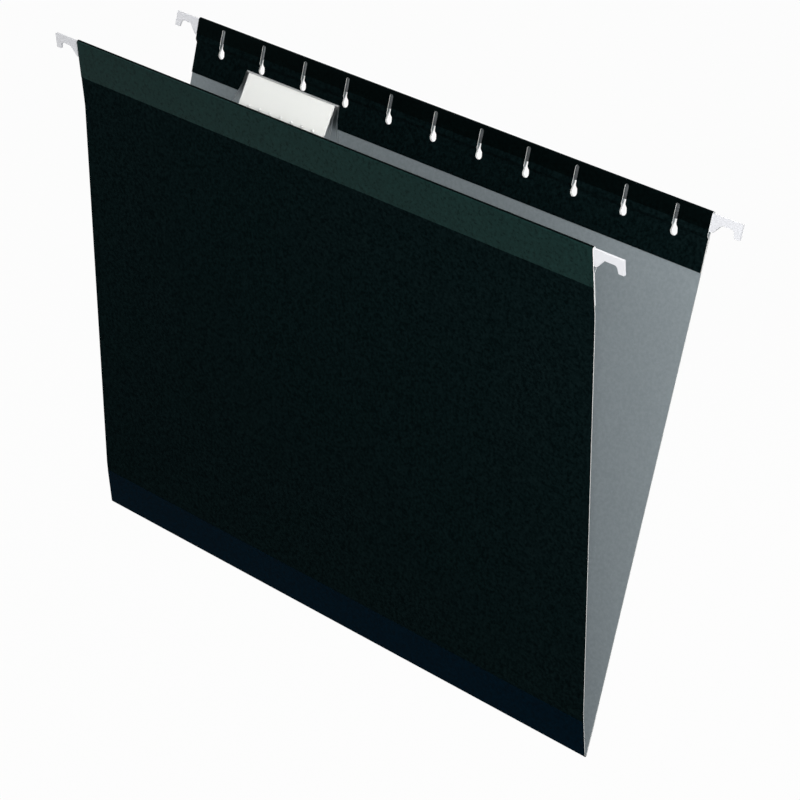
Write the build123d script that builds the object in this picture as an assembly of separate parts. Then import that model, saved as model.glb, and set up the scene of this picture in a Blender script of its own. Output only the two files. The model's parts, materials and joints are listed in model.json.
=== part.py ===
from build123d import *
import math
import os

# Hanging file folder, letter size, hung open in a V. X runs along the bottom
# fold, the front panel leans to -Y, +Z is up, and the origin is under the
# middle of the fold. Lengths are in millimetres and angles in degrees.

# Sheet of two-tone paper, folded at the bottom and hemmed over a rod at each top
panel_width = 298.45
panel_height = 234.95
sheet_thickness = 0.3
fold_radius = 0.25
foot_height = 18.5
score_length = 4.5
hem_height = 29.0

# Lean of each panel's foot, middle and hem, outward from upright
front_lean_angles = (12.5, 8.0, 12.5)
back_lean_angles = (9.9, 8.9, 7.9)

# Hem flap: a straight pocket for the rod, a slope, and a glued end
flap_depth = 25.4
pocket_depth = 9.7
flap_slope = 35.0
flap_bend_length = 0.4
glue_thickness = 0.1
glue_width = 5.5
glue_margin = 4.0

# Clear film that stiffens both tops and the fold
film_thickness = 0.1
top_film_outside = 17.5
top_film_inside = 7.5
bottom_film_height = 17.5

# Keyhole slots in the hem for index tabs
slot_count = 11
slot_margin = 16.975
slot_top = 1.6
slot_neck_radius = 1.0
slot_flare_top = 9.4
slot_bulb_radius = 1.75
slot_bottom = 15.0

# Steel rod with a coated hook at each end
rod_height = 7.5
steel_thickness = 0.7
coat_thickness = 0.15
rod_clearance = 0.05
coat_seat_length = 12.0
hook_reach = 15.0
hook_drop = 6.65
tooth_width = 2.8
tooth_inset = 0.8
seat_width = 6.0
seat_drop = 3.4
hook_root = 1.5
hook_outer_corner = 0.3
hook_tooth_corner = 0.25
hook_seat_corner = 1.6
hook_root_corner = 0.5

# Clear index tab, clipped into two slots of the front hem
slot_count_before_tab = 3
tab_slot_step = 2
tab_thickness = 0.4
tab_angle = 34.0
tab_entry_depth = 8.7
tab_leaf_start = 1.5
tab_leaf_length = 20.4
tab_bend_radius = 0.35
tab_spread = 16.0
tab_back_length = 15.0
tab_top_width = 54.0
tab_base_overhang = 2.6
tab_flare_start = 6.7
tab_flare_end = 15.2
tab_corner = 2.5
tongue_side_clearance = 0.2
tongue_reach = 1.45
tongue_head_length = 0.5
tongue_head_width = 3.0
bead_count = 7
bead_pitch = 6.35
bead_radius = 0.7
bead_rise = 0.35
bead_height = 7.7

# White card label between the tab's leaves
label_width = 50.8
label_height = 16.0
label_thickness = 0.25
label_clearance = 0.05

# How far a cutting solid runs past what it cuts
overrun = 2.0

# Sizes that follow from the ones above
hook_thickness = steel_thickness + 2 * coat_thickness
pocket_gap = hook_thickness + 2 * rod_clearance
pocket_radius = pocket_gap / 2
top_radius = pocket_radius + sheet_thickness
skin_thickness = sheet_thickness + film_thickness
axis_height = fold_radius + skin_thickness
rod_rise = math.sqrt(pocket_radius**2 - (hook_thickness / 2) ** 2)
rod_drop = top_radius - rod_rise + rod_clearance
half_width = panel_width / 2
slot_pitch = (panel_width - 2 * slot_margin) / (slot_count - 1)
first_slot = -slot_pitch * (slot_count - 1) / 2
tongue_spacing = tab_slot_step * slot_pitch
tab_middle = first_slot + slot_count_before_tab * slot_pitch + tongue_spacing / 2
tab_base_width = tongue_spacing + 2 * tab_base_overhang

# Y side of each panel
front_side = -1
back_side = -front_side


def forward(heading):
    """Unit step along a heading: 0 is up, and a positive heading leans inward."""
    return Vector(-math.sin(math.radians(heading)), math.cos(math.radians(heading)))


def right(heading):
    """Unit step square to a heading, towards the panel's outside."""
    return Vector(math.cos(math.radians(heading)), math.sin(math.radians(heading)))


def step(place, heading, length, turn):
    """Where a straight or evenly turning move ends, and its heading there."""
    half_turn = math.radians(turn) / 2
    chord_share = math.sin(half_turn) / half_turn if half_turn else 1
    return place + forward(heading + turn / 2) * (length * chord_share), heading + turn


def portion(place, heading, moves, start, stop):
    """The part of a path between two distances along it, with its own start."""
    kept, travelled, first = [], 0, None
    for length, turn in moves:
        low = max(start - travelled, 0)
        high = min(stop - travelled, length)
        if high > low:
            if first is None:
                first = step(place, heading, low, turn * low / length)
            kept.append((high - low, turn * (high - low) / length))
        place, heading = step(place, heading, length, turn)
        travelled += length
    return first[0], first[1], kept


def trace(place, heading, moves, offset, side):
    """Lines and arcs that run beside a path, at an offset to its right."""
    edges = []
    for length, turn in moves:
        middle, middle_heading = step(place, heading, length / 2, turn / 2)
        end, end_heading = step(place, heading, length, turn)
        stations = [(place, heading), (middle, middle_heading), (end, end_heading)]
        points = [spot + right(angle) * offset for spot, angle in stations]
        points = [(side * point.X, point.Y) for point in points]
        edges.append(ThreePointArc(*points) if turn else Line(points[0], points[2]))
        place, heading = end, end_heading
    return edges


def strip(path, near, far, span, reach, side):
    """A bent strip: a path's span, between two offsets, drawn out along X."""
    place, heading, moves = portion(*path, *span)
    first = trace(place, heading, moves, near, side)
    second = trace(place, heading, moves, far, side)
    caps = [Line(first[0] @ 0, second[0] @ 0), Line(first[-1] @ 1, second[-1] @ 1)]
    section = make_face(first + second + caps)
    low, high = reach
    return extrude(Plane.YZ.offset(low) * section, amount=high - low, dir=(1, 0, 0))


def path_length(path):
    """Length of a whole path."""
    return sum(length for length, turn in path[2])


def flap_moves():
    """The flap's way down: pocket wall, slope towards the panel, glued end."""
    slope = math.radians(flap_slope)
    bend_radius = flap_bend_length / slope
    bend_shift = 2 * bend_radius * (1 - math.cos(slope))
    slope_length = (pocket_gap - glue_thickness - bend_shift) / math.sin(slope)
    slope_drop = slope_length * math.cos(slope) + 2 * bend_radius * math.sin(slope)
    return [
        (pocket_depth - top_radius, 0),
        (flap_bend_length, flap_slope),
        (slope_length, 0),
        (flap_bend_length, -flap_slope),
        (flap_depth - pocket_depth - slope_drop, 0),
    ]


def panel_moves(leans):
    """A panel's way up from the fold to where the top bend begins."""
    foot_lean, middle_lean, hem_lean = leans
    middle_height = panel_height - foot_height - 2 * score_length - hem_height
    return [
        (foot_height, 0),
        (score_length, foot_lean - middle_lean),
        (middle_height, 0),
        (score_length, middle_lean - hem_lean),
        (hem_height - top_radius, 0),
    ]


def sheet_path(leans):
    """Path of a half sheet's grey face, from the fold over the rod to the flap's end."""
    heading = -leans[0]
    place = Vector(0, axis_height) + right(heading) * fold_radius
    top_bend = [(math.pi * pocket_radius, 180)]
    return place, heading, panel_moves(leans) + top_bend + flap_moves()


def top_distance(leans):
    """Distance along a sheet's path to the start of its top bend."""
    return sum(length for length, turn in panel_moves(leans))


def outside_at(leans, depth):
    """Distance along the path to a depth below the top, on the panel."""
    return top_distance(leans) - (depth - top_radius)


def inside_at(leans, depth):
    """Distance along the path to a depth below the top, on the flap."""
    return top_distance(leans) + math.pi * pocket_radius + depth - top_radius


def hem_top(leans):
    """Place and heading of the hem's top, in line with the panel's grey face."""
    place, heading = sheet_path(leans)[:2]
    for length, turn in panel_moves(leans):
        place, heading = step(place, heading, length, turn)
    return place + forward(heading) * top_radius, heading


def hem_plane(leans, side):
    """Plane of a hem, with x along X, y up the hem and z towards the front."""
    place, heading = hem_top(leans)
    origin = (0, side * place.X, place.Y)
    outward = right(heading)
    return Plane(origin, x_dir=(1, 0, 0), z_dir=(0, -outward.X, -side * outward.Y))


def keyhole():
    """One slot: a round-topped neck that flares into a round bulb."""
    bulb_height = -slot_bottom + slot_bulb_radius
    neck_length = slot_flare_top - slot_top - slot_neck_radius
    neck_middle = -slot_flare_top + neck_length / 2
    neck = Pos(0, neck_middle) * Rectangle(2 * slot_neck_radius, neck_length)
    cap = Pos(0, -slot_top - slot_neck_radius) * Circle(slot_neck_radius)
    flare_top = Pos(0, -slot_flare_top) * Circle(slot_neck_radius)
    bulb = Pos(0, bulb_height) * Circle(slot_bulb_radius)
    flare = make_hull(flare_top.edges() + bulb.edges())
    return neck + cap + flare


def slot_cutters(leans, side):
    """All slots of a hem: through both layers at the back, flap only in front."""
    inner = side * (pocket_gap + skin_thickness + overrun)
    outer = side * pocket_radius if side == front_side else -skin_thickness - overrun
    plane = hem_plane(leans, side)
    one = extrude(Pos(0, 0, min(inner, outer)) * keyhole(), abs(inner - outer))
    return [plane * Pos(first_slot + slot_pitch * k) * one for k in range(slot_count)]


def make_sheet(leans, side, cutters):
    """Half of the paper sheet: panel, top bend and hem flap in one bent strip."""
    path = sheet_path(leans)
    span = (0, path_length(path))
    sheet = strip(path, 0, sheet_thickness, span, (-half_width, half_width), side)
    return sheet - cutters


def make_top_film(leans, side, cutters):
    """Film over a hem: down the outside, over the bend and onto the flap."""
    span = (outside_at(leans, top_film_outside), inside_at(leans, top_film_inside))
    path = sheet_path(leans)
    film = strip(path, sheet_thickness, skin_thickness, span, (-half_width, half_width), side)
    return film - cutters


def make_bottom_film(leans, side):
    """Film up a panel's foot from the fold."""
    span = (0, bottom_film_height)
    path = sheet_path(leans)
    return strip(path, sheet_thickness, skin_thickness, span, (-half_width, half_width), side)


def make_glue(leans, side):
    """Glue line between a panel and the end of its flap."""
    span = (outside_at(leans, flap_depth), outside_at(leans, flap_depth - glue_width))
    reach = half_width - glue_margin
    return strip(sheet_path(leans), -glue_thickness, 0, span, (-reach, reach), side)


def make_fold():
    """The creased strip of paper and film that joins the two panels at the bottom."""
    turn = 180 - front_lean_angles[0] - back_lean_angles[0]
    heading = -front_lean_angles[0] - turn
    place = Vector(0, axis_height) + right(heading) * fold_radius
    arc_length = fold_radius * math.radians(turn)
    path = (place, heading, [(arc_length, turn)])
    return strip(path, 0, skin_thickness, (0, arc_length), (-half_width, half_width), front_side)


def rod_outline():
    """Outline of a coated rod: a flat strip with a hooked notch at each end."""
    tip = half_width + hook_reach
    tooth = tip - tooth_width
    seat_end = tooth - tooth_inset
    profile = [
        (0, 0),
        (tip, 0),
        (tip, -hook_drop),
        (tooth, -hook_drop),
        (seat_end, -seat_drop),
        (seat_end - seat_width, -seat_drop),
        (half_width + hook_root, -rod_height),
        (0, -rod_height),
    ]
    tooth_corners = [hook_outer_corner, hook_tooth_corner, hook_tooth_corner]
    seat_corners = [hook_seat_corner, hook_root_corner, hook_root_corner]
    half = FilletPolyline(*profile, radius=tooth_corners + seat_corners)
    spine = Line(profile[-1], profile[0])
    right_half = make_face(half.edges() + [spine])
    return Pos(0, -rod_drop) * (right_half + mirror(right_half, Plane.YZ))


def plate(outline, thickness, leans, side):
    """A flat plate of an outline, centred in a hem's pocket."""
    centre = side * pocket_radius
    flat = extrude(Pos(0, 0, centre - thickness / 2) * outline, thickness)
    return hem_plane(leans, side) * flat


def make_rod(leans, side):
    """Steel strip whose hooked ends are the core of the coated hooks."""
    core = offset(rod_outline(), amount=-coat_thickness)
    return plate(core, steel_thickness, leans, side)


def make_hook(leans, side, end, rod):
    """White coating over one end of a rod, from inside the hem to the tip."""
    length = coat_seat_length + hook_reach
    height = 2 * (rod_drop + rod_height)
    middle = end * (half_width - coat_seat_length + length / 2)
    end_zone = Pos(middle, 0) * Rectangle(length, height)
    return plate(rod_outline() & end_zone, hook_thickness, leans, side) - rod


def tab_path():
    """Path of the tab's inner face: tongue, front leaf, top bend, back leaf."""
    place, hem_heading = hem_top(front_lean_angles)
    heading = hem_heading + tab_angle
    entry = place - forward(hem_heading) * tab_entry_depth
    entry = entry - right(hem_heading) * (pocket_gap + sheet_thickness / 2)
    start = entry - forward(heading) * tongue_reach - right(heading) * (tab_thickness / 2)
    turn = 180 - tab_spread
    return start, heading, [
        (tongue_reach + tab_leaf_length, 0),
        (tab_bend_radius * math.radians(turn), turn),
        (tab_back_length, 0),
    ]


def leaf_plane():
    """Plane of the front leaf: x along X, y up the leaf from its entry, z forward."""
    start, heading, moves = tab_path()
    entry = start + forward(heading) * tongue_reach
    outward = right(heading)
    origin = (tab_middle, front_side * entry.X, entry.Y)
    return Plane(origin, x_dir=(1, 0, 0), z_dir=(0, front_side * outward.X, outward.Y))


def leaf_outline():
    """Outline of both leaves: a wide base that draws in towards the top fold."""
    base, top = tab_base_width / 2, tab_top_width / 2
    above = tab_leaf_length + overrun
    profile = [
        (0, tab_leaf_start),
        (base, tab_leaf_start),
        (base, tab_flare_start),
        (top, tab_flare_end),
        (top, above),
        (0, above),
    ]
    corners = [tab_corner, tab_corner, tab_corner, tab_thickness]
    half = FilletPolyline(*profile, radius=corners)
    right_half = make_face(half.edges() + [Line(profile[-1], profile[0])])
    return right_half + mirror(right_half, Plane.YZ)


def make_tab():
    """Clear index tab: folded leaf, two T-headed tongues and a row of beads."""
    path = tab_path()
    depth = tab_leaf_length
    whole = (tongue_reach, path_length(path))
    reach = (tab_middle - tab_base_width / 2, tab_middle + tab_base_width / 2)
    leaf = strip(path, 0, tab_thickness, whole, reach, front_side)
    tab = leaf & (leaf_plane() * extrude(leaf_outline(), depth, both=True))
    neck_width = 2 * (slot_neck_radius - tongue_side_clearance)
    tongue_spans = [
        (neck_width, (0, tongue_reach + tab_leaf_start + tab_corner)),
        (tongue_head_width, (0, tongue_head_length)),
    ]
    for end in (-1, 1):
        middle = tab_middle + end * tongue_spacing / 2
        for width, span in tongue_spans:
            reach = (middle - width / 2, middle + width / 2)
            tab = tab + strip(path, 0, tab_thickness, span, reach, front_side)
    ball = (bead_radius ** 2 + bead_rise ** 2) / (2 * bead_rise)
    rise = tab_thickness / 2 + bead_rise
    dome = Pos(0, 0, rise - ball) * Sphere(ball) & Pos(0, 0, ball) * Box(*[2 * ball] * 3)
    for k in range(bead_count):
        across = (k - (bead_count - 1) / 2) * bead_pitch
        tab = tab + leaf_plane() * Pos(across, bead_height, tab_thickness / 2) * dome
    return tab


def make_label():
    """White card label that lies on the inside of the tab's front leaf."""
    top = tongue_reach + tab_leaf_length
    span = (top - label_height, top)
    reach = (tab_middle - label_width / 2, tab_middle + label_width / 2)
    far = -label_clearance - label_thickness
    return strip(tab_path(), far, -label_clearance, span, reach, front_side)


def make_half(name, leans, side):
    """All pieces of one panel, by node name."""
    cutters = slot_cutters(leans, side)
    rod = make_rod(leans, side)
    return {
        f"{name}_sheet": make_sheet(leans, side, cutters),
        f"{name}_top_film": make_top_film(leans, side, cutters),
        f"{name}_bottom_film": make_bottom_film(leans, side),
        f"{name}_hem_glue": make_glue(leans, side),
        f"{name}_rod": rod,
        f"{name}_left_hook": make_hook(leans, side, -1, rod),
        f"{name}_right_hook": make_hook(leans, side, 1, rod),
    }


def main():
    """Make every piece and write one file for each."""
    pieces = {
        **make_half("front", front_lean_angles, front_side),
        **make_half("back", back_lean_angles, back_side),
        "bottom_fold": make_fold(),
        "index_tab": make_tab(),
        "tab_label": make_label(),
    }
    os.makedirs("parts", exist_ok=True)
    for name, shape in pieces.items():
        export_step(shape, f"parts/{name}.step")


main()
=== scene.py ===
"""Hanging file folder: a two-tone paper folder hung open in a V on two hooked rods."""

import json
import math

import bmesh
import bpy
from bpy.props import FloatProperty, FloatVectorProperty, IntProperty, PointerProperty
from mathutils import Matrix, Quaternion, Vector


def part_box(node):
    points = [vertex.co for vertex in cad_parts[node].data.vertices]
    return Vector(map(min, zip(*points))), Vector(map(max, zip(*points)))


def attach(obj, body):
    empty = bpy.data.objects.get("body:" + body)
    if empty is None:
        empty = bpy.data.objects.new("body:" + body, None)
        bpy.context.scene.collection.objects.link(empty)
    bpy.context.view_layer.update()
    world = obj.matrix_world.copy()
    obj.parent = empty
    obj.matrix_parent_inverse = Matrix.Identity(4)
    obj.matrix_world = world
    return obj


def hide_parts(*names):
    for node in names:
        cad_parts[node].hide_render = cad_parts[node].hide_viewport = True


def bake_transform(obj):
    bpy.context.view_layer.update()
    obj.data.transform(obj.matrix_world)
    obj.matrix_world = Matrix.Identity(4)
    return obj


bl_info = {
    "name": "Hanging File Folder",
    "version": (1, 0, 0),
    "blender": (4, 5, 0),
    "location": "View3D > Sidebar > Folder",
    "description": "Dresses a hanging file folder with paper, film, steel and clear plastic",
    "category": "Object",
}

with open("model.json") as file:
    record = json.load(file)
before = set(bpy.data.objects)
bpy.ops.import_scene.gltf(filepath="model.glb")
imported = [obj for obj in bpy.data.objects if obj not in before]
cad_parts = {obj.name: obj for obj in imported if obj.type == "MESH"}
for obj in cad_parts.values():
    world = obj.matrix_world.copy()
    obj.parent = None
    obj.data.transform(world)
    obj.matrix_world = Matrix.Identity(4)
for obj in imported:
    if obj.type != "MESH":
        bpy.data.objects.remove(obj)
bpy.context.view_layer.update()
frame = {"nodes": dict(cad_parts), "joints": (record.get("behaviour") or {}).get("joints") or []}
crease_low, crease_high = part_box("bottom_fold")

MM = 0.001


def linear(hex_colour):
    """Linear RGB of an sRGB hex value."""
    shares = [int(hex_colour[k:k + 2], 16) / 255 for k in (1, 3, 5)]
    return tuple(s / 12.92 if s <= 0.04045 else ((s + 0.055) / 1.055) ** 2.4 for s in shares)


def length(name, description, default):
    """A length property in metres."""
    return FloatProperty(
        name=name, description=description, default=default, unit="LENGTH", precision=5
    )


def colour(name, description, hex_colour):
    """A colour property, written as sRGB hex and kept linear."""
    return FloatVectorProperty(
        name=name, description=description, default=linear(hex_colour),
        subtype="COLOR", min=0, max=1,
    )


class FolderSizes(bpy.types.PropertyGroup):
    """Sizes of the folder's surface detail, its crease and its stage."""

    # Real fibres are finer, and are drawn this coarse to show in the render
    paper_tooth: length("Paper tooth", "Width of one fleck in the sheet", 1.5 * MM)
    tooth_height: length("Tooth height", "How far the paper's flecks stand up", 0.03 * MM)
    card_tooth: length("Card tooth", "Width of one fleck in the label card", 0.6 * MM)
    film_ripple: length("Film ripple", "Width of a ripple in the film", 9 * MM)
    ripple_height: length("Ripple height", "How far the film's ripples stand up", 0.015 * MM)
    glue_lump: length("Glue lump", "Width of a soft lump in the glue", 3 * MM)
    lump_height: length("Lump height", "How far the glue's lumps stand up", 0.06 * MM)
    line_spacing: length("Line spacing", "Spacing of the rolling lines on the rods", 0.5 * MM)
    line_depth: length("Line depth", "Depth of the rolling lines", 0.01 * MM)
    coat_dimple: length("Coat dimple", "Width of a dimple in the hooks' coating", 1.4 * MM)
    dimple_depth: length("Dimple depth", "Depth of the coating's dimples", 0.03 * MM)
    plastic_wave: length("Plastic wave", "Width of a wave in the clear tab", 11 * MM)
    wave_height: length("Wave height", "How far the tab's waves stand up", 0.05 * MM)
    bead_width: length("Bead width", "No bead on the tab is wider than this", 2 * MM)
    crease_skin: length("Crease skin", "Thickness of paper and film at the fold", 0.4 * MM)
    crease_steps: IntProperty(
        name="Crease steps", description="Faces round the bottom fold", default=20, min=4
    )
    floor_drop: length("Floor drop", "Depth of the floor below the fold", 0.4)
    floor_side: length("Floor side", "Side of the floor", 16.0)
    camera_place: FloatVectorProperty(
        name="Camera place", description="Where the camera stands", subtype="TRANSLATION",
        unit="LENGTH", default=(0.8009, -0.8614, 0.6081),
    )
    camera_azimuth: FloatProperty(
        name="Camera azimuth", description="Turn from the folder's front to its right",
        default=math.radians(41.94), subtype="ANGLE",
    )
    camera_elevation: FloatProperty(
        name="Camera elevation", description="Tilt of the camera's view below level",
        default=math.radians(23.0), subtype="ANGLE",
    )
    camera_roll: FloatProperty(
        name="Camera roll", description="Roll of the camera about its view",
        default=math.radians(5.72), subtype="ANGLE",
    )
    camera_lens: FloatProperty(
        name="Camera lens", description="Focal length in millimetres on a 36 mm sensor",
        default=133.7,
    )


class FolderColours(bpy.types.PropertyGroup):
    """Colours of the folder's materials and of its stage."""

    black_paper: colour("Black paper", "Dyed outside of the sheet", "#030a0b")
    black_fleck: colour("Black paper fleck", "Lighter fibres in the dyed outside", "#0c1819")
    grey_paper: colour("Grey paper", "Inside of the sheet", "#828b8f")
    grey_fleck: colour("Grey paper fleck", "Lighter fibres in the grey inside", "#8a9397")
    paper_core: colour("Paper core", "Cut edges of the sheet", "#f0f1ef")
    core_fleck: colour("Paper core fleck", "Darker fibres in the cut edges", "#dcdddb")
    top_film: colour("Top film", "Black paper seen through the film at the top", "#112422")
    # Painted shade: the film drawn near black inside the hem and along the top fold
    flap_film_painted_shade: colour("Flap film", "Black paper seen through the film on the flaps", "#030808")
    bottom_film: colour("Bottom film", "Black paper seen through the film at the foot", "#010f19")
    film_sheen: colour("Film sheen", "Cast of the light that the film throws back", "#95fff9")
    # Painted shade: steel drawn darker than bare steel for the rods in the shaded hem pockets
    rod_steel: colour("Rod steel", "Rolled steel of the rods", "#6c7072")
    hook_coat: colour("Hook coat", "Coating of the hooks", "#e0e1e5")
    clear_tab: colour("Clear tab", "Tint of the clear index tab", "#fdfdfd")
    # Partly painted highlight: the beads' whitened plastic is drawn pure white to stand in for
    # their glints
    bead: colour("Bead", "Stress-whitened beads of the tab", "#ffffff")
    bead_shade: colour("Bead shade", "Less whitened spots of the beads", "#f6f8f6")
    card: colour("Card", "White label card", "#f1f2ef")
    card_fleck: colour("Card fleck", "Darker fibres in the label card", "#eaece8")
    glue: colour("Glue", "Dried glue under the hem flaps", "#cdc5ac")
    floor: colour("Floor", "Pale studio floor", "#c4c4c2")


def add_node(tree, kind, inputs=(), **settings):
    """Adds a shader node, with its settings and with values or links for its inputs."""
    node = tree.nodes.new("ShaderNode" + kind)
    for key, value in settings.items():
        setattr(node, key, value)
    for key, value in dict(inputs).items():
        if isinstance(value, bpy.types.NodeSocket):
            tree.links.new(value, node.inputs[key])
        else:
            node.inputs[key].default_value = value
    return node


def opaque(rgb):
    """A colour with full alpha, as a shader socket takes it."""
    return (*rgb, 1.0)


def blank_tree(owner):
    """The owner's node tree, switched on and empty."""
    owner.use_nodes = True
    owner.node_tree.nodes.clear()
    return owner.node_tree


# Where nearly all of a noise lies, and the narrower range that parts it into flecks
NOISE_RANGE = {"From Min": 0.3, "From Max": 0.7}
FLECK_RANGE = {"From Min": 0.36, "From Max": 0.64}
# Pressed fibres: clumps with finer ones between them
FIBRES = {"Detail": 3.0, "Roughness": 0.65}
# How far the roughness strays from its mean over the fibres
PAPER_STRAY = 0.06
FILM_STRAY = 0.05
# The rolling lines' pattern along a rod, as a share of the one across it
LINE_STRETCH = 0.02


def paper_finish(name, base, fleck, sizes, tooth, roughness, shine):
    """Paper made of pressed fibres: a fleck at every tooth and a dry, toothed surface."""
    material = bpy.data.materials.new(name)
    tree = blank_tree(material)
    place = add_node(tree, "TexCoord").outputs["Object"]
    fibres = add_node(
        tree, "TexNoise", {"Vector": place, "Scale": 1 / tooth, **FIBRES}
    ).outputs["Fac"]
    amount = add_node(tree, "MapRange", {"Value": fibres, **FLECK_RANGE}).outputs["Result"]
    tint = add_node(
        tree, "Mix", {"Factor": amount, "A": opaque(base), "B": opaque(fleck)}, data_type="RGBA"
    ).outputs["Result"]
    dryness = add_node(tree, "MapRange", {
        "Value": fibres, **NOISE_RANGE,
        "To Min": roughness - PAPER_STRAY, "To Max": roughness + PAPER_STRAY,
    }).outputs["Result"]
    relief = add_node(
        tree, "Bump", {"Height": fibres, "Strength": 0.5, "Distance": sizes.tooth_height}
    ).outputs["Normal"]
    shader = add_node(tree, "BsdfPrincipled", {
        "Base Color": tint, "Roughness": dryness, "Specular IOR Level": shine, "Normal": relief,
    })
    add_node(tree, "OutputMaterial", {"Surface": shader.outputs["BSDF"]})
    return material


def film_finish(name, rgb, sheen, sizes, roughness, shine):
    """Polyester film on black paper: the paper's dark under a satin skin with slow ripples."""
    material = bpy.data.materials.new(name)
    tree = blank_tree(material)
    place = add_node(tree, "TexCoord").outputs["Object"]
    ripples = add_node(
        tree, "TexNoise", {"Vector": place, "Scale": 1 / sizes.film_ripple, "Detail": 2.0}
    ).outputs["Fac"]
    fibres = add_node(
        tree, "TexNoise", {"Vector": place, "Scale": 1 / sizes.paper_tooth, **FIBRES}
    ).outputs["Fac"]
    lift = add_node(
        tree, "MapRange", {"Value": fibres, **NOISE_RANGE, "To Min": 0.65, "To Max": 1.45}
    ).outputs["Result"]
    tint = add_node(tree, "VectorMath", {0: rgb, "Scale": lift}, operation="SCALE").outputs[0]
    gloss = add_node(tree, "MapRange", {
        "Value": fibres, **NOISE_RANGE,
        "To Min": roughness - FILM_STRAY, "To Max": roughness + FILM_STRAY,
    }).outputs["Result"]
    relief = add_node(
        tree, "Bump", {"Height": ripples, "Strength": 0.4, "Distance": sizes.ripple_height}
    ).outputs["Normal"]
    shader = add_node(tree, "BsdfPrincipled", {
        "Base Color": tint, "Roughness": gloss, "Specular IOR Level": shine,
        "Specular Tint": opaque(sheen), "Normal": relief,
    })
    add_node(tree, "OutputMaterial", {"Surface": shader.outputs["BSDF"]})
    return material


def dress(material, *node_names):
    """Gives CAD nodes a material."""
    for node_name in node_names:
        slots = frame["nodes"][node_name].material_slots
        if not slots:
            raise RuntimeError(f"{node_name} has no material slot")
        for slot in slots:
            slot.link = "OBJECT"
            slot.material = material


# Corners of loose triangles that lie this close are one
MERGE_DISTANCE = 0.002 * MM
# Faces that meet at a larger angle have a sharp edge between them
SHARPEST = math.radians(40)
OUTWARD = {"front": Vector((0, -1, 0)), "back": Vector((0, 1, 0))}
# The film stays satin on the outside; from the hem's folded edge inwards, top fold included, it is
# drawn as a near black copy, which is painted shade
LIT_FILM_FACING = 0.75
# A bead is round, so the mean of its normals is shorter than that of a flat face
BEAD_FACING = 0.9


def merged_copy(node_name):
    """A bmesh of a CAD node with its loose triangles joined."""
    bm = bmesh.new()
    bm.from_mesh(frame["nodes"][node_name].data)
    bmesh.ops.remove_doubles(bm, verts=bm.verts, dist=MERGE_DISTANCE)
    return bm


def is_smooth(edge):
    """Whether an edge joins two faces that meet at no sharp angle."""
    return len(edge.link_faces) == 2 and edge.calc_face_angle() < SHARPEST


def shade_smooth(bm):
    """Rounds the shading of all edges that aren't sharp."""
    for face in bm.faces:
        face.smooth = True
    for edge in bm.edges:
        edge.smooth = is_smooth(edge)


def smooth_regions(bm):
    """Groups of faces that meet at no sharp edge, the largest area first."""
    left = set(bm.faces)
    regions = []
    while left:
        region, to_visit = [], [left.pop()]
        while to_visit:
            face = to_visit.pop()
            region.append(face)
            for edge in filter(is_smooth, face.edges):
                found = [f for f in edge.link_faces if f in left]
                left.difference_update(found)
                to_visit.extend(found)
        regions.append(region)
    return sorted(regions, key=lambda r: -sum(f.calc_area() for f in r))


def add_piece(name, bm, materials):
    """A mesh object at the origin, made from a bmesh, with these materials."""
    mesh = bpy.data.meshes.new(name)
    bm.to_mesh(mesh)
    bm.free()
    if "custom_normal" in mesh.attributes:
        mesh.attributes.remove(mesh.attributes["custom_normal"])
    for material in materials:
        mesh.materials.append(material)
    piece = bpy.data.objects.new(name, mesh)
    bpy.context.scene.collection.objects.link(piece)
    return piece


class FOLDER_OT_paper_halves(bpy.types.Operator):
    """Makes the two paper halves, black outside, grey inside and pale at their cut edges"""

    bl_idname = "folder.paper_halves"
    bl_label = "Paper halves"

    def execute(self, context):
        sizes, colours = context.scene.folder_sizes, context.scene.folder_colours
        # Dyed kraft stock, calendered: near black, dry, with a fine lighter tooth
        black = paper_finish(
            "Black dyed paper", colours.black_paper, colours.black_fleck, sizes,
            sizes.paper_tooth, roughness=0.7, shine=0.002,
        )
        # The same stock with a printed grey inside: even, with a little sheen
        grey = paper_finish(
            "Grey printed paper", colours.grey_paper, colours.grey_fleck, sizes,
            sizes.paper_tooth, roughness=0.7, shine=0.1,
        )
        # Undyed pulp, which shows pale wherever the sheet is cut or punched
        core = paper_finish(
            "Undyed paper core", colours.paper_core, colours.core_fleck, sizes,
            sizes.card_tooth, roughness=0.85, shine=0.1,
        )
        for body, outward in OUTWARD.items():
            node_name = body + "_sheet"
            bm = merged_copy(node_name)
            regions = smooth_regions(bm)
            outside, inside = sorted(
                regions[:2], key=lambda r: -sum(f.calc_area() * f.normal.dot(outward) for f in r)
            )
            cut_edges = [face for region in regions[2:] for face in region]
            for index, faces in enumerate((outside, inside, cut_edges)):
                for face in faces:
                    face.material_index = index
            shade_smooth(bm)
            piece = add_piece(body + "_paper", bm, (black, grey, core))
            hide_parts(node_name)
            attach(piece, body)
        return {"FINISHED"}


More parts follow.
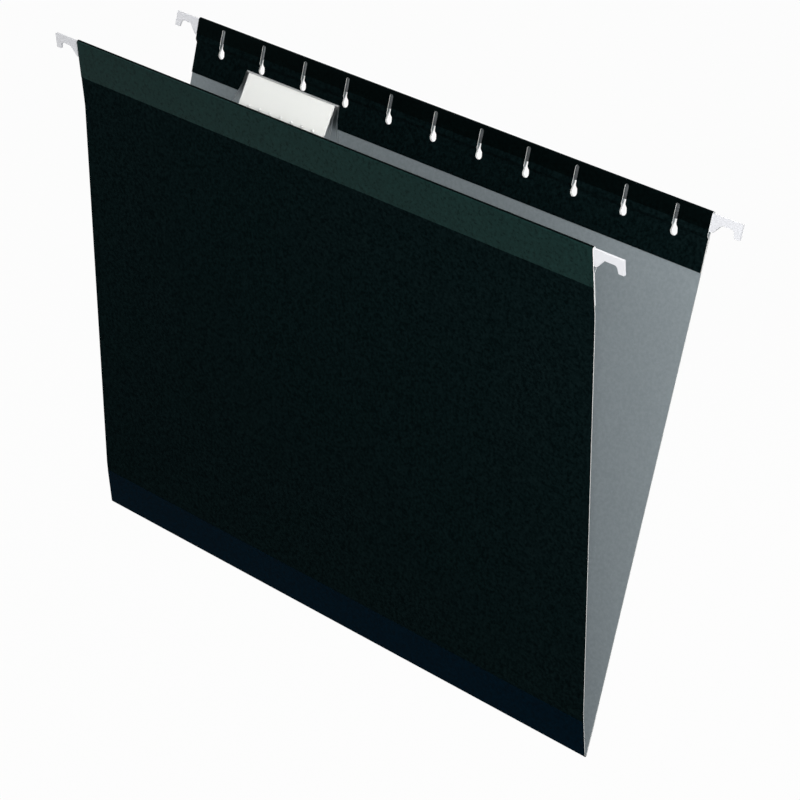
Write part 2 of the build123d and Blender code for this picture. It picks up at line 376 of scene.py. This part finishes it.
class FOLDER_OT_film_bands(bpy.types.Operator):
    """Dresses the film bands along both tops and both feet"""

    bl_idname = "folder.film_bands"
    bl_label = "Film bands"

    def execute(self, context):
        sizes, colours = context.scene.folder_sizes, context.scene.folder_colours
        # Laminated along the outside of both tops: a satin, dark green skin
        top = film_finish(
            "Polyester film on black paper", colours.top_film, colours.film_sheen, sizes,
            roughness=0.3, shine=0.03,
        )
        # The same film folded into the hem, drawn duller and near black as painted shade there and
        # along the top fold
        flap = film_finish(
            "Polyester film on the hem flap", colours.flap_film_painted_shade, colours.film_sheen, sizes,
            roughness=0.4, shine=0.004,
        )
        # Laminated round the foot: dull, with a blue cast
        foot = film_finish(
            "Blue polyester film on black paper", colours.bottom_film, colours.film_sheen, sizes,
            roughness=0.4, shine=0.004,
        )
        dress(foot, "front_bottom_film", "back_bottom_film")
        for body, outward in OUTWARD.items():
            bm = merged_copy(body + "_top_film")
            for face in bm.faces:
                # Faces that turn away from the outside get the dark copy, which is painted shade
                face.material_index = 0 if face.normal.dot(outward) > LIT_FILM_FACING else 1
            shade_smooth(bm)
            piece = add_piece(body + "_top_band", bm, (top, flap))
            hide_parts(body + "_top_film")
            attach(piece, body)
        return {"FINISHED"}


class FOLDER_OT_bottom_crease(bpy.types.Operator):
    """Makes the rounded crease that bends between the two halves"""

    bl_idname = "folder.bottom_crease"
    bl_label = "Bottom crease"

    def execute(self, context):
        sizes, colours = context.scene.folder_sizes, context.scene.folder_colours
        # The foot's blue film, a little duller where it is creased
        crease_film = film_finish(
            "Creased polyester film", colours.bottom_film, colours.film_sheen, sizes,
            roughness=0.45, shine=0.004,
        )
        axis = next(Vector(j["pos_m"]) for j in frame["joints"] if j["name"] == "fold_hinge")
        outer = axis.z - crease_low.z
        inner = outer - sizes.crease_skin
        front_lean = math.acos(min(1.0, -crease_low.y / outer))
        back_lean = math.acos(min(1.0, crease_high.y / outer))
        left, right = crease_low.x, crease_high.x
        corners = [
            (x, -r * math.cos(front_lean), axis.z - r * math.sin(front_lean))
            for x, r in ((left, inner), (right, inner), (right, outer), (left, outer))
        ]
        bm = bmesh.new()
        section = bm.faces.new([bm.verts.new(corner) for corner in corners])
        bmesh.ops.spin(
            bm, geom=[section], cent=axis, axis=(1, 0, 0), angle=math.pi - front_lean - back_lean,
            steps=sizes.crease_steps, use_merge=False,
        )
        bmesh.ops.recalc_face_normals(bm, faces=bm.faces)
        shade_smooth(bm)
        crease = add_piece("bottom_crease", bm, (crease_film,))
        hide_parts("bottom_fold")
        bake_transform(crease)
        return {"FINISHED"}


class FOLDER_OT_hem_glue(bpy.types.Operator):
    """Dresses the glue lines that hold the hem flaps"""

    bl_idname = "folder.hem_glue"
    bl_label = "Hem glue"

    def execute(self, context):
        sizes, colours = context.scene.folder_sizes, context.scene.folder_colours
        material = bpy.data.materials.new("Dried hot-melt glue")
        # Rolled on hot: waxy, amber, with soft lumps a few millimetres wide
        tree = blank_tree(material)
        place = add_node(tree, "TexCoord").outputs["Object"]
        lumps = add_node(
            tree, "TexNoise", {"Vector": place, "Scale": 1 / sizes.glue_lump, "Detail": 2.0}
        ).outputs["Fac"]
        amount = add_node(
            tree, "MapRange", {"Value": lumps, **NOISE_RANGE, "To Min": 0.85, "To Max": 1.1}
        ).outputs["Result"]
        tint = add_node(
            tree, "VectorMath", {0: colours.glue, "Scale": amount}, operation="SCALE"
        ).outputs[0]
        relief = add_node(
            tree, "Bump", {"Height": lumps, "Strength": 0.5, "Distance": sizes.lump_height}
        ).outputs["Normal"]
        shader = add_node(
            tree, "BsdfPrincipled", {"Base Color": tint, "Roughness": 0.45, "Normal": relief}
        )
        add_node(tree, "OutputMaterial", {"Surface": shader.outputs["BSDF"]})
        dress(material, "front_hem_glue", "back_hem_glue")
        return {"FINISHED"}


class FOLDER_OT_rods(bpy.types.Operator):
    """Dresses the flat steel rods inside the hems"""

    bl_idname = "folder.rods"
    bl_label = "Steel rods"

    def execute(self, context):
        sizes, colours = context.scene.folder_sizes, context.scene.folder_colours
        material = bpy.data.materials.new("Cold-rolled steel strip")
        # Rolled along its length: grey metal, drawn darker than bare steel as painted shade of the
        # hem pocket, with fine lines that run with X
        tree = blank_tree(material)
        place = add_node(tree, "TexCoord").outputs["Object"]
        stretched = add_node(
            tree, "Mapping", {"Vector": place, "Scale": (LINE_STRETCH, 1.0, 1.0)}
        ).outputs["Vector"]
        lines = add_node(
            tree, "TexNoise", {"Vector": stretched, "Scale": 1 / sizes.line_spacing, "Detail": 3.0}
        ).outputs["Fac"]
        amount = add_node(
            tree, "MapRange", {"Value": lines, **NOISE_RANGE, "To Min": 0.8, "To Max": 1.1}
        ).outputs["Result"]
        tint = add_node(
            tree, "VectorMath", {0: colours.rod_steel, "Scale": amount}, operation="SCALE"
        ).outputs[0]
        dullness = add_node(
            tree, "MapRange", {"Value": lines, **NOISE_RANGE, "To Min": 0.45, "To Max": 0.58}
        ).outputs["Result"]
        relief = add_node(
            tree, "Bump", {"Height": lines, "Strength": 0.3, "Distance": sizes.line_depth}
        ).outputs["Normal"]
        shader = add_node(tree, "BsdfPrincipled", {
            "Base Color": tint, "Metallic": 1.0, "Roughness": dullness, "Normal": relief,
        })
        add_node(tree, "OutputMaterial", {"Surface": shader.outputs["BSDF"]})
        dress(material, "front_rod", "back_rod")
        return {"FINISHED"}


class FOLDER_OT_hooks(bpy.types.Operator):
    """Dresses the four coated hooks"""

    bl_idname = "folder.hooks"
    bl_label = "Coated hooks"

    def execute(self, context):
        sizes, colours = context.scene.folder_sizes, context.scene.folder_colours
        material = bpy.data.materials.new("White nylon coating")
        # Dipped and baked: smooth satin white with slow shallow dimples
        tree = blank_tree(material)
        place = add_node(tree, "TexCoord").outputs["Object"]
        dimples = add_node(
            tree, "TexNoise", {"Vector": place, "Scale": 1 / sizes.coat_dimple, "Detail": 2.0}
        ).outputs["Fac"]
        amount = add_node(
            tree, "MapRange", {"Value": dimples, **NOISE_RANGE, "To Min": 0.97, "To Max": 1.0}
        ).outputs["Result"]
        tint = add_node(
            tree, "VectorMath", {0: colours.hook_coat, "Scale": amount}, operation="SCALE"
        ).outputs[0]
        dullness = add_node(
            tree, "MapRange", {"Value": dimples, **NOISE_RANGE, "To Min": 0.32, "To Max": 0.42}
        ).outputs["Result"]
        relief = add_node(
            tree, "Bump", {"Height": dimples, "Strength": 0.25, "Distance": sizes.dimple_depth}
        ).outputs["Normal"]
        shader = add_node(tree, "BsdfPrincipled", {
            "Base Color": tint, "Roughness": dullness, "IOR": 1.53, "Normal": relief,
        })
        add_node(tree, "OutputMaterial", {"Surface": shader.outputs["BSDF"]})
        for body in OUTWARD:
            dress(material, body + "_left_hook", body + "_right_hook")
        return {"FINISHED"}


class FOLDER_OT_index_tab(bpy.types.Operator):
    """Makes the clear index tab with its row of whitened beads, drawn white also as a painted
    highlight
    """

    bl_idname = "folder.index_tab"
    bl_label = "Index tab"

    def execute(self, context):
        sizes, colours = context.scene.folder_sizes, context.scene.folder_colours
        material = bpy.data.materials.new("Clear PVC sheet")
        # Calendered and die cut: clear, with a slight haze, slow waves and little sheen
        tree = blank_tree(material)
        place = add_node(tree, "TexCoord").outputs["Object"]
        waves = add_node(
            tree, "TexNoise", {"Vector": place, "Scale": 1 / sizes.plastic_wave, "Detail": 1.0}
        ).outputs["Fac"]
        relief = add_node(
            tree, "Bump", {"Height": waves, "Strength": 0.15, "Distance": sizes.wave_height}
        ).outputs["Normal"]
        clear = add_node(tree, "BsdfPrincipled", {
            "Base Color": opaque(colours.clear_tab), "Roughness": 0.28, "IOR": 1.1,
            "Transmission Weight": 1.0, "Normal": relief,
        })
        # Lamps shine through to the label behind it
        lamp_light = add_node(tree, "BsdfTransparent", {"Color": opaque(colours.clear_tab)})
        lamp_ray = add_node(tree, "LightPath").outputs["Is Shadow Ray"]
        shader = add_node(tree, "MixShader", {
            0: lamp_ray, 1: clear.outputs["BSDF"], 2: lamp_light.outputs["BSDF"],
        })
        add_node(tree, "OutputMaterial", {"Surface": shader.outputs["Shader"]})
        # The same sheet, whitened where the beads were drawn out of it, and drawn pure white so
        # that the beads also stand in for their glints: partly painted highlight
        bead_white_and_glint = paper_finish(
            "Stress-whitened PVC", colours.bead, colours.bead_shade, sizes,
            sizes.card_tooth, roughness=0.35, shine=0.5,
        )
        bm = merged_copy("index_tab")
        for region in smooth_regions(bm):
            area = sum(face.calc_area() for face in region)
            facing = sum((face.normal * face.calc_area() for face in region), Vector()) / area
            corners = [vert.co for face in region for vert in face.verts]
            width = max(max(c[k] for c in corners) - min(c[k] for c in corners) for k in range(3))
            if width < sizes.bead_width and facing.length < BEAD_FACING:
                for face in region:
                    face.material_index = 1
        shade_smooth(bm)
        tab = add_piece("clear_tab", bm, (material, bead_white_and_glint))
        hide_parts("index_tab")
        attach(tab, "tab")
        return {"FINISHED"}


class FOLDER_OT_tab_label(bpy.types.Operator):
    """Dresses the white card label"""

    bl_idname = "folder.tab_label"
    bl_label = "Tab label"

    def execute(self, context):
        sizes, colours = context.scene.folder_sizes, context.scene.folder_colours
        # Bleached index card, calendered: white with a very fine tooth
        card = paper_finish(
            "White index card", colours.card, colours.card_fleck, sizes,
            sizes.card_tooth, roughness=0.75, shine=0.2,
        )
        dress(card, "tab_label")
        return {"FINISHED"}


# Softboxes: name, place, point aimed at, side in metres and power in watts
SOFTBOXES = (
    ("key_softbox", (0.52, -0.36, 0.44), (0.1, -0.02, 0.2), 0.25, 4.0),
    ("left_softbox", (-0.5, -0.36, 0.35), (-0.1, -0.02, 0.2), 0.25, 0.9),
    ("fill_softbox", (-0.1, -0.95, 0.25), (0.0, 0.0, 0.18), 0.7, 1.3),
    ("top_softbox", (0.1, 0.0, 1.2), (0.0, 0.0, 0.2), 1.2, 2.2),
    ("back_softbox", (-0.5, 1.0, 0.6), (0.0, 0.0, 0.12), 1.0, 5.8),
)
# Strength of the light from all round, and how much of the white background covers the floor
AMBIENT = 0.2
FLOOR_GLOW = 0.97
WHITE = opaque(linear("#ffffff"))
# Width in millimetres of the sensor that the lens is given for
SENSOR_WIDTH = 36.0


def background_ray(tree):
    """1 for a ray that meets the background from the camera, in a reflection or through the tab."""
    path = add_node(tree, "LightPath").outputs
    seen = add_node(
        tree, "Math", {0: path["Is Camera Ray"], 1: path["Is Glossy Ray"]}, operation="MAXIMUM"
    ).outputs[0]
    seen = add_node(
        tree, "Math", {0: seen, 1: path["Is Transmission Ray"]}, operation="MAXIMUM"
    ).outputs[0]
    # Light that falls on the label through the tab is not a view of the background
    direct = add_node(
        tree, "Math", {0: path["Diffuse Depth"], 1: 1.0}, operation="LESS_THAN"
    ).outputs[0]
    return add_node(tree, "Math", {0: seen, 1: direct}, operation="MULTIPLY").outputs[0]


class FOLDER_OT_stage(bpy.types.Operator):
    """Sets the pale floor, the soft light and the camera"""

    bl_idname = "folder.stage"
    bl_label = "Stage"

    def execute(self, context):
        scene = context.scene
        sizes, colours = scene.folder_sizes, scene.folder_colours
        scene.view_settings.view_transform = "Standard"

        bm = bmesh.new()
        bmesh.ops.create_grid(bm, x_segments=1, y_segments=1, size=sizes.floor_side / 2)
        bmesh.ops.translate(bm, verts=bm.verts, vec=(0, 0, -sizes.floor_drop))
        # Matt paint, which is nearly white where it is seen and pale grey where it gives light
        material = bpy.data.materials.new("Pale studio floor")
        tree = blank_tree(material)
        painted = add_node(tree, "BsdfDiffuse", {"Color": opaque(colours.floor)})
        glow = add_node(tree, "Emission", {"Color": WHITE, "Strength": 1.0})
        share = add_node(
            tree, "Math", {0: background_ray(tree), 1: FLOOR_GLOW}, operation="MULTIPLY"
        ).outputs[0]
        shader = add_node(tree, "MixShader", {
            0: share, 1: painted.outputs["BSDF"], 2: glow.outputs["Emission"],
        })
        add_node(tree, "OutputMaterial", {"Surface": shader.outputs["Shader"]})
        add_piece("studio_floor", bm, (material,))

        world = bpy.data.worlds.new("Studio")
        scene.world = world
        tree = blank_tree(world)
        ambient = add_node(tree, "Background", {"Color": WHITE, "Strength": AMBIENT})
        backdrop = add_node(tree, "Background", {"Color": WHITE, "Strength": 1.0})
        shader = add_node(tree, "MixShader", {
            0: background_ray(tree),
            1: ambient.outputs["Background"], 2: backdrop.outputs["Background"],
        })
        add_node(tree, "OutputWorld", {"Surface": shader.outputs["Shader"]})

        for name, place, aim, side, power in SOFTBOXES:
            light = bpy.data.lights.new(name, "AREA")
            light.size, light.energy = side, power
            lamp = bpy.data.objects.new(name, light)
            lamp.location = place
            lamp.rotation_euler = (Vector(aim) - Vector(place)).to_track_quat("-Z", "Y").to_euler()
            # The tab lets lamp light through already, so a lamp isn't met a second time there
            lamp.visible_transmission = lamp.visible_camera = False
            scene.collection.objects.link(lamp)

        azimuth, elevation = sizes.camera_azimuth, sizes.camera_elevation
        ahead = Vector((
            -math.sin(azimuth) * math.cos(elevation),
            math.cos(azimuth) * math.cos(elevation),
            -math.sin(elevation),
        ))
        camera = bpy.data.objects.new("camera", bpy.data.cameras.new("camera"))
        camera.data.sensor_width = SENSOR_WIDTH
        camera.data.lens = sizes.camera_lens
        camera.location = sizes.camera_place
        camera.rotation_mode = "QUATERNION"
        camera.rotation_quaternion = (
            ahead.to_track_quat("-Z", "Y") @ Quaternion((0, 0, 1), sizes.camera_roll)
        )
        scene.collection.objects.link(camera)
        scene.camera = camera
        return {"FINISHED"}


OPERATORS = (
    FOLDER_OT_paper_halves,
    FOLDER_OT_film_bands,
    FOLDER_OT_bottom_crease,
    FOLDER_OT_hem_glue,
    FOLDER_OT_rods,
    FOLDER_OT_hooks,
    FOLDER_OT_index_tab,
    FOLDER_OT_tab_label,
    FOLDER_OT_stage,
)


class FOLDER_PT_panel(bpy.types.Panel):
    """Sizes, colours and steps of the hanging file folder"""

    bl_idname = "FOLDER_PT_panel"
    bl_label = "Hanging File Folder"
    bl_space_type = "VIEW_3D"
    bl_region_type = "UI"
    bl_category = "Folder"

    def draw(self, context):
        for group in (context.scene.folder_sizes, context.scene.folder_colours):
            box = self.layout.box()
            for key in group.bl_rna.properties.keys():
                if key not in ("rna_type", "name"):
                    box.prop(group, key)
        for operator in OPERATORS:
            self.layout.operator(operator.bl_idname)


CLASSES = (FolderSizes, FolderColours, *OPERATORS, FOLDER_PT_panel)


def register():
    for cls in CLASSES:
        bpy.utils.register_class(cls)
    bpy.types.Scene.folder_sizes = PointerProperty(type=FolderSizes)
    bpy.types.Scene.folder_colours = PointerProperty(type=FolderColours)


def unregister():
    del bpy.types.Scene.folder_colours
    del bpy.types.Scene.folder_sizes
    for cls in reversed(CLASSES):
        bpy.utils.unregister_class(cls)


def main():
    """Builds the dressed folder on its stage."""
    register()
    bpy.ops.folder.paper_halves()
    bpy.ops.folder.film_bands()
    bpy.ops.folder.bottom_crease()
    bpy.ops.folder.hem_glue()
    bpy.ops.folder.rods()
    bpy.ops.folder.hooks()
    bpy.ops.folder.index_tab()
    bpy.ops.folder.tab_label()
    bpy.ops.folder.stage()


if __name__ == "__main__":
    main()
